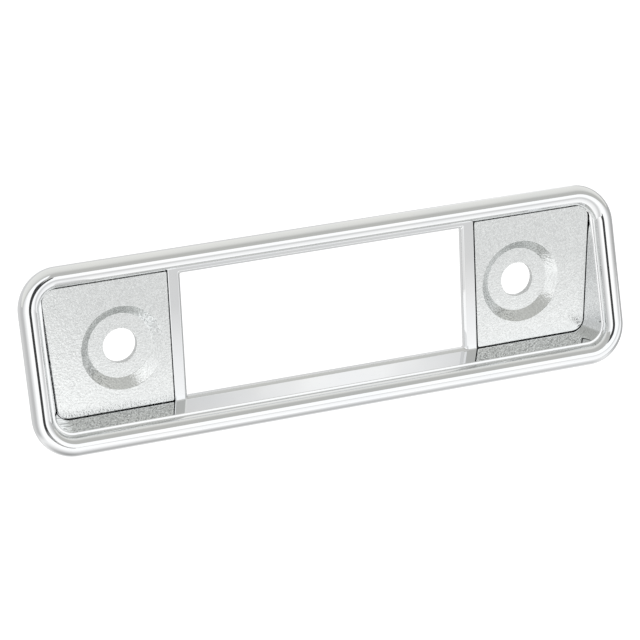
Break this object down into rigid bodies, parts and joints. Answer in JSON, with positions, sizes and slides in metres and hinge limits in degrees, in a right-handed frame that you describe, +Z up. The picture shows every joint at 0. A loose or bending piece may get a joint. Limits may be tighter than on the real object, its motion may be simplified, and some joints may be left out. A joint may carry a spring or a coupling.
{
  "type": "letter plate frame",
  "caption": "Chrome letter plate frame with a half-round rolled rim, a leaning recess with an open window, and a dished silver screw pad at each end.",
  "frame": {"origin": "midway between the two screw holes, on the plane of the seats that the screw heads bear on", "axes": "+X along the plate to the right as seen from the front, +Y into the door, square to the seats and the back edge, +Z up; the front faces -Y"},
  "size_m": [0.12, 0.013, 0.0345],
  "materials": {
    "chrome": "polished bright chrome plate",
    "silver_paint": "granular silver paint, satin",
    "spring_steel": "dark phosphated spring steel"
  },
  "bodies": {
    "root": {"chrome_frame": "chrome", "left_screw_pad": "silver_paint", "right_screw_pad": "silver_paint", "left_pad_clips": "spring_steel", "right_pad_clips": "spring_steel"}
  },
  "joints": []
}
